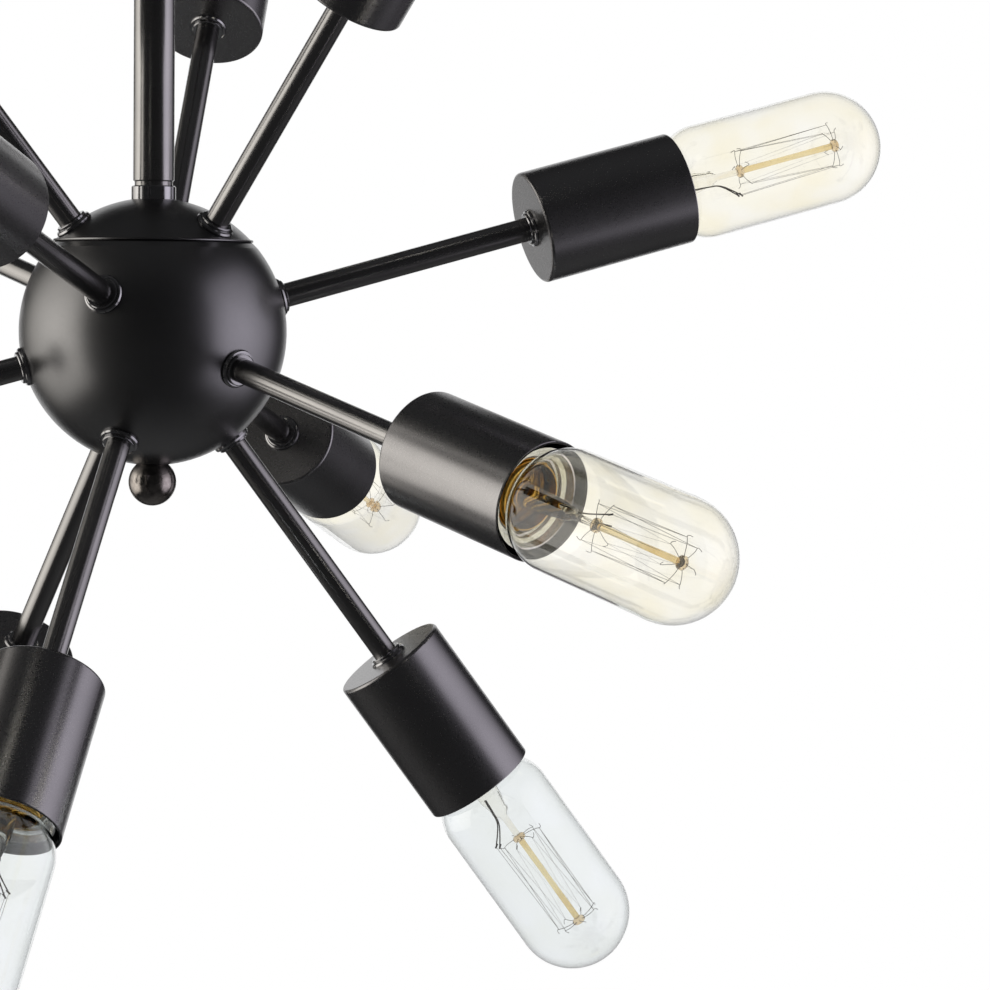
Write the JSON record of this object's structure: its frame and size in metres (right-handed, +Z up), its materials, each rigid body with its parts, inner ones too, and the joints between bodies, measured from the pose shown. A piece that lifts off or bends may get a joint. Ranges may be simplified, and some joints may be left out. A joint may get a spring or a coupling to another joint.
{
  "type": "sputnik chandelier",
  "caption": "Ball-centred ceiling light: straight arms radiate from a black sphere to cups that hold long tubular bulbs, on a rod stem with canopy and swivel.",
  "frame": {"origin": "centre of the ceiling plane, midway between the crossbar's two slots", "axes": "+Z up into the ceiling; +X to the right and +Y to the back, seen from the front; the slots lie along X"},
  "size_m": [0.5899, 0.5606, 0.8343],
  "materials": {
    "black_canopy": "matte",
    "matte_black": "matte",
    "black_cup": "satin",
    "black_tube": "satin",
    "black_metal": "satin",
    "black_nickel": "polished",
    "zinc_steel": "zinc plated",
    "porcelain": "glazed",
    "brass": "bright",
    "bright_ring": "polished",
    "amber_glass": "clear, amber tinted",
    "bulb_brass": "plated"
  },
  "bodies": {
    "canopy": {"canopy": "black_canopy", "crossbar": "zinc_steel", "canopy_screws": "zinc_steel", "canopy_cap_nuts": "black_metal", "swivel_yoke": "black_metal", "yoke_nuts": "zinc_steel", "pivot_pin": "black_metal"},
    "stem": {"swivel_tongue": "black_metal", "upper_rod": "black_tube", "lower_rod": "black_tube", "stem_collar": "black_nickel", "ball_lid": "matte_black", "ball_body": "matte_black", "centre_tube": "zinc_steel", "finial": "black_nickel", "arm_ferrules": "black_nickel", "arm_lock_nuts": "zinc_steel", "lid_arms": "black_tube", "side_arms": "black_tube", "base_arms": "black_tube", "lampholders": "porcelain", "screw_shells": "brass", "socket_contacts": "brass", "socket_rings": "bright_ring", "cup_lid_1": "black_cup", "cup_lid_2": "black_cup", "cup_lid_3": "black_cup", "cup_upper_1": "black_cup", "cup_upper_2": "black_cup", "cup_upper_3": "black_cup", "cup_lower_1": "black_cup", "cup_lower_2": "black_cup", "cup_lower_3": "black_cup", "cup_base_1": "black_cup", "cup_base_2": "black_cup", "cup_base_3": "black_cup"},
    "bulb_lid_1": {"bulb_glass_lid_1": "amber_glass", "bulb_base_lid_1": "bulb_brass"},
    "bulb_lid_2": {"bulb_glass_lid_2": "amber_glass", "bulb_base_lid_2": "bulb_brass"},
    "bulb_lid_3": {"bulb_glass_lid_3": "amber_glass", "bulb_base_lid_3": "bulb_brass"},
    "bulb_upper_1": {"bulb_glass_upper_1": "amber_glass", "bulb_base_upper_1": "bulb_brass"},
    "bulb_upper_2": {"bulb_glass_upper_2": "amber_glass", "bulb_base_upper_2": "bulb_brass"},
    "bulb_upper_3": {"bulb_glass_upper_3": "amber_glass", "bulb_base_upper_3": "bulb_brass"},
    "bulb_lower_1": {"bulb_glass_lower_1": "amber_glass", "bulb_base_lower_1": "bulb_brass"},
    "bulb_lower_2": {"bulb_glass_lower_2": "amber_glass", "bulb_base_lower_2": "bulb_brass"},
    "bulb_lower_3": {"bulb_glass_lower_3": "amber_glass", "bulb_base_lower_3": "bulb_brass"},
    "bulb_base_1": {"bulb_glass_base_1": "amber_glass", "bulb_base_base_1": "bulb_brass"},
    "bulb_base_2": {"bulb_glass_base_2": "amber_glass", "bulb_base_base_2": "bulb_brass"},
    "bulb_base_3": {"bulb_glass_base_3": "amber_glass", "bulb_base_base_3": "bulb_brass"}
  },
  "joints": [
    {"name": "stem_tilt", "type": "hinge", "parent": "canopy", "child": "stem", "pos_m": [0, 0, -0.047], "axis": [0, 1, 0], "range_deg": [-45, 45]},
    {"name": "bulb_lid_1_out", "type": "slide", "parent": "stem", "child": "bulb_lid_1", "axis": [0.1385, 0.5999, 0.788], "range_m": [0, 0.06]},
    {"name": "bulb_lid_2_out", "type": "slide", "parent": "stem", "child": "bulb_lid_2", "axis": [-0.5888, -0.18, 0.788], "range_m": [0, 0.06]},
    {"name": "bulb_lid_3_out", "type": "slide", "parent": "stem", "child": "bulb_lid_3", "axis": [0.4503, -0.4199, 0.788], "range_m": [0, 0.06]},
    {"name": "bulb_upper_1_out", "type": "slide", "parent": "stem", "child": "bulb_upper_1", "axis": [0.9459, 0.1839, 0.2672], "range_m": [0, 0.06]},
    {"name": "bulb_upper_2_out", "type": "slide", "parent": "stem", "child": "bulb_upper_2", "axis": [-0.5933, 0.7594, 0.2672], "range_m": [0, 0.06]},
    {"name": "bulb_upper_3_out", "type": "slide", "parent": "stem", "child": "bulb_upper_3", "axis": [-0.361, -0.8935, 0.2672], "range_m": [0, 0.06]},
    {"name": "bulb_lower_1_out", "type": "slide", "parent": "stem", "child": "bulb_lower_1", "axis": [0.3453, 0.8996, -0.2672], "range_m": [0, 0.06]},
    {"name": "bulb_lower_2_out", "type": "slide", "parent": "stem", "child": "bulb_lower_2", "axis": [-0.949, -0.1673, -0.2672], "range_m": [0, 0.06]},
    {"name": "bulb_lower_3_out", "type": "slide", "parent": "stem", "child": "bulb_lower_3", "axis": [0.6194, -0.7382, -0.2672], "range_m": [0, 0.06]},
    {"name": "bulb_base_1_out", "type": "slide", "parent": "stem", "child": "bulb_base_1", "axis": [0.5875, 0.0931, -0.8039], "range_m": [0, 0.06]},
    {"name": "bulb_base_2_out", "type": "slide", "parent": "stem", "child": "bulb_base_2", "axis": [-0.3326, 0.4931, -0.8039], "range_m": [0, 0.06]},
    {"name": "bulb_base_3_out", "type": "slide", "parent": "stem", "child": "bulb_base_3", "axis": [-0.2419, -0.5434, -0.8039], "range_m": [0, 0.06]}
  ]
}
